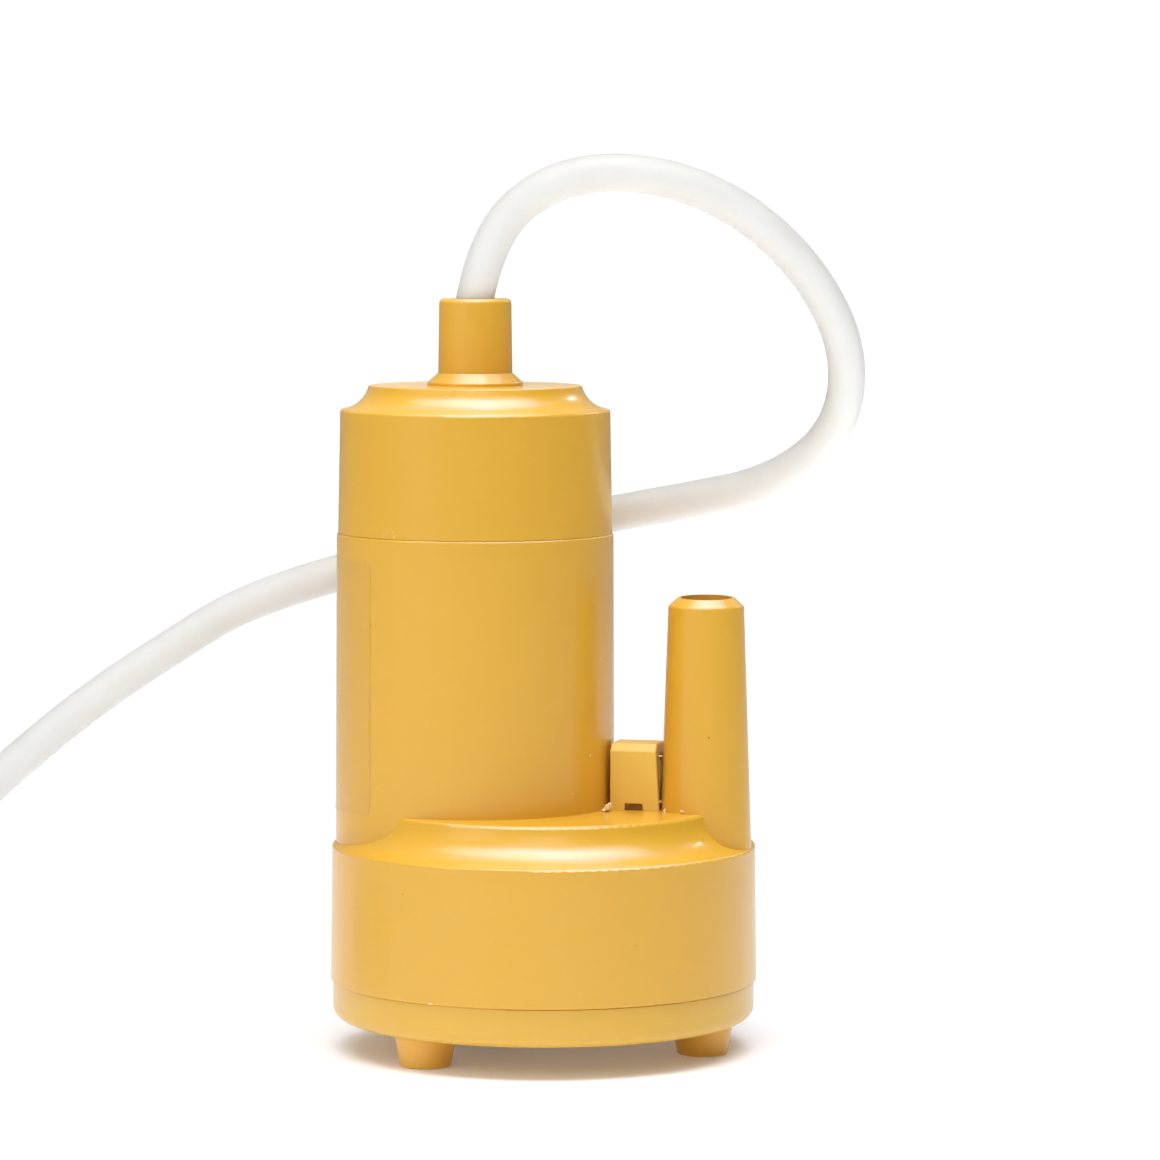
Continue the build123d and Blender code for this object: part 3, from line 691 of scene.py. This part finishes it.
def lobe(direction, a, b, gain):
    d = direction.normalized()
    dot = wt.nodes.new("ShaderNodeVectorMath")
    dot.operation = "DOT_PRODUCT"
    wt.links.new(tc.outputs["Generated"], dot.inputs[0])
    dot.inputs[1].default_value = d
    m = wt.nodes.new("ShaderNodeMapRange")
    m.interpolation_type = "SMOOTHSTEP"
    for i, v in zip(("From Min", "From Max", "To Min", "To Max"), (a, b, 0.0, gain)):
        m.inputs[i].default_value = v
    wt.links.new(dot.outputs["Value"], m.inputs["Value"])
    return m.outputs["Result"]


def add(a, b):
    m = wt.nodes.new("ShaderNodeMath")
    m.operation = "ADD"
    for i, v in enumerate((a, b)):
        if isinstance(v, float):
            m.inputs[i].default_value = v
        else:
            wt.links.new(v, m.inputs[i])
    return m.outputs[0]


light_level = add(0.0, add(lobe(shot(0, 1, 0.042), 0.9945, 0.999, 0.6), add(lobe(shot(0, 1, 0.15), 0.35, 0.85, 0.404), lobe(shot(-0.75, -0.75, 0.45), 0.1, 0.85, 0.321))))
lp = wt.nodes.new("ShaderNodeLightPath")
pick = wt.nodes.new("ShaderNodeMix")
wt.links.new(lp.outputs["Is Camera Ray"], pick.inputs[0])
wt.links.new(light_level, pick.inputs[2])
pick.inputs[3].default_value = 1.05
bg.inputs["Color"].default_value = (1, 1, 1, 1)
wt.links.new(pick.outputs[0], bg.inputs["Strength"])


def softbox(name, place, target, w, h, watts, color=(1, 1, 1)):
    l = bpy.data.lights.new(name, "AREA")
    l.shape = "RECTANGLE"
    l.size, l.size_y = w, h
    l.energy = watts
    l.color = color
    o = bpy.data.objects.new(name, l)
    o.location = place
    o.rotation_mode = "QUATERNION"
    o.rotation_quaternion = (target - place).to_track_quat("-Z", "Y")
    link(o)
    o.visible_camera = False
    return o


aim = Vector((0, 0, 0.05))


def lit(name, place, w, h, radiance, card=None):
    """Soft box, or with a colour, a card that only the gloss sees."""
    o = softbox(name, place, aim, w, h, math.pi * w * h * radiance, card or (1, 1, 1))
    if card:
        o.visible_diffuse = False
    return o


wide = lit("wide_softbox", shot(-0.01, -0.10, 0.86), 1.30, 0.45, 3.36)
lit("broad_softbox", shot(0.06, -0.05, 0.86), 0.95, 0.55, 1.96)
lit("near_strip", shot(0.07, -0.42, 0.86), 0.74, 0.20, 1.40)
lit("front_strip", shot(0.06, -0.21, 0.86), 0.74, 0.20, 2.62)
lit("middle_strip", shot(0.06, 0.0, 0.86), 0.74, 0.20, 0.55)
lit("left_softbox", shot(-0.8, -0.7, 0.45), 0.70, 0.70, 1.30)
lit("camera_softbox", shot(0, -0.9, 0.7), 0.60, 0.50, 1.66)
# cool cards that whiten the highlights
cool = (0.0, 0.24, 1.0)
cards = [
    lit("wide_card", shot(0.02, -0.08, 0.86), 1.05, 0.55, 3.9, cool),
    lit("front_card", shot(0.04, -0.32, 0.86), 0.74, 0.36, 3.4, cool),
    lit("middle_card", shot(0.04, 0.0, 0.86), 0.70, 0.20, 2.9, cool),
    lit("back_card", shot(0.02, 0.28, 0.86), 0.85, 0.36, 2.8, cool),
    lit("rim_card", shot(0.61, 0.64, 0.50), 0.18, 0.13, 5.5, (0.9, 0.95, 1.0)),
    lit("spot_card", shot(0.580, 0.562, 0.541), 0.10, 0.07, 18.0, (0.6, 0.85, 1.0)),
]
# the cable gets less light from above than the pump, no cards, and low lights of its own
only = bpy.data.collections.new("cable_light")
only.objects.link(cable)
but = bpy.data.collections.new("all_but_cable_light")
but.objects.link(cable)
but.collection_objects[0].light_linking.link_state = "EXCLUDE"
for o in (wide, *cards):
    o.light_linking.receiver_collection = but
own = [
    lit("cable_top", shot(-0.01, -0.10, 0.86), 1.30, 0.45, 0.70),
    lit("cable_fill_right", shot(0.72, -0.60, 0.06), 0.80, 0.20, 3.6),
    lit("cable_fill_left", shot(-0.50, -0.80, 0.06), 0.60, 0.20, 2.1),
    lit("cable_front", shot(0.05, -0.95, 0.14), 0.50, 0.20, 3.6),
    softbox("cable_under", shot(0.07, 0.02, 0.03), shot(0.07, 0.02, 1.0), 0.08, 0.08, math.pi * 0.08 * 0.08 * 0.8),
    softbox("cable_low", shot(0.026, -0.045, 0.042), shot(0.026, 0.5, 0.042), 0.06, 0.03, math.pi * 0.06 * 0.03 * 1.9),
]
for o in own:
    o.visible_glossy = False
    o.light_linking.receiver_collection = only

scene.view_settings.view_transform = "Standard"
scene.view_settings.look = "None"
scene.view_settings.exposure = 0.0
scene.view_settings.gamma = 1.0

bpy.context.view_layer.update()
